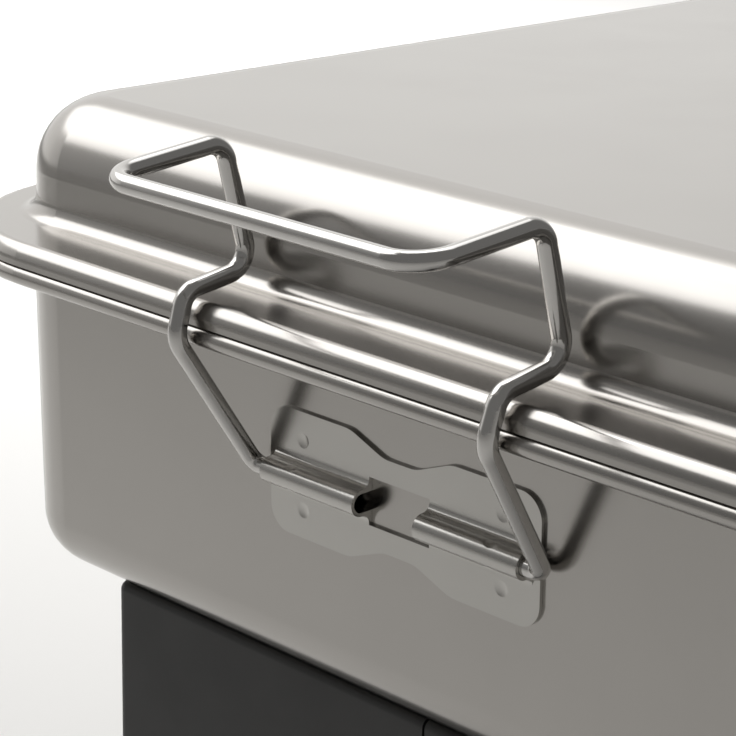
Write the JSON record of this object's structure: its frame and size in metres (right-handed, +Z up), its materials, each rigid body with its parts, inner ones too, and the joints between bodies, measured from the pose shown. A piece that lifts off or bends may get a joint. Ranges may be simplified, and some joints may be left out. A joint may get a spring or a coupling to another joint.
{
  "type": "electric box smoker",
  "caption": "Tabletop electric box smoker: drawn stainless tub and lid clamped by wire bails, on a black sheet stand with a tubular element.",
  "frame": {"origin": "on the table, under the middle of the box", "axes": "+Z up, +X along the box's length, -Y towards the front"},
  "size_m": [0.5474, 0.304, 0.2609],
  "materials": {
    "drawn_stainless": "satin",
    "latch_plate": "satin",
    "bail_wire": "polished",
    "black_powder": "matte",
    "rack_wire": "polished",
    "tray_stainless": "satin",
    "aluminised_sheet": "satin",
    "rivet_steel": "satin",
    "zinc_screw": "satin",
    "foot_rubber": "matte",
    "element_sheath": "matte",
    "terminal_steel": "satin",
    "gland_nylon": "matte",
    "ceramic": "satin",
    "lead_sleeve": "matte",
    "cutout_body": "satin"
  },
  "bodies": {
    "stand": {"stand_front": "black_powder", "stand_rear": "black_powder", "seam_strap_left": "aluminised_sheet", "seam_strap_right": "aluminised_sheet", "seam_rivets": "rivet_steel", "reflector": "aluminised_sheet", "reflector_rivets": "rivet_steel", "foot_front_left": "foot_rubber", "foot_front_right": "foot_rubber", "foot_rear_left": "foot_rubber", "foot_rear_right": "foot_rubber", "foot_screws": "zinc_screw", "heating_element": "element_sheath", "element_pins": "terminal_steel", "element_support_left": "aluminised_sheet", "element_support_right": "aluminised_sheet", "terminal_housing": "aluminised_sheet", "gland_body": "gland_nylon", "gland_nut": "gland_nylon", "terminal_block": "ceramic", "lead_live": "lead_sleeve", "lead_neutral": "lead_sleeve", "thermal_cutout": "cutout_body"},
    "box": {"tub": "drawn_stainless", "lid": "drawn_stainless", "latch_plate_left": "latch_plate", "latch_plate_right": "latch_plate", "drip_tray": "tray_stainless", "tray_feet": "tray_stainless", "lower_rack_frame": "rack_wire", "lower_rack_rods": "rack_wire", "lower_rack_feet": "rack_wire", "upper_rack_frame": "rack_wire", "upper_rack_rods": "rack_wire", "upper_rack_feet": "rack_wire"},
    "bail_left": {"latch_bail_left": "bail_wire"},
    "bail_right": {"latch_bail_right": "bail_wire"}
  },
  "joints": [
    {"name": "box_lift", "type": "slide", "parent": "stand", "child": "box", "axis": [0, 0, 1], "range_m": [0, 0.06]},
    {"name": "bail_left_swing", "type": "hinge", "parent": "box", "child": "bail_left", "pos_m": [-0.23351, 0, 0.189], "axis": [0, -1, 0], "range_deg": [0, 145]},
    {"name": "bail_right_swing", "type": "hinge", "parent": "box", "child": "bail_right", "pos_m": [0.23351, 0, 0.189], "axis": [0, 1, 0], "range_deg": [0, 145]}
  ]
}
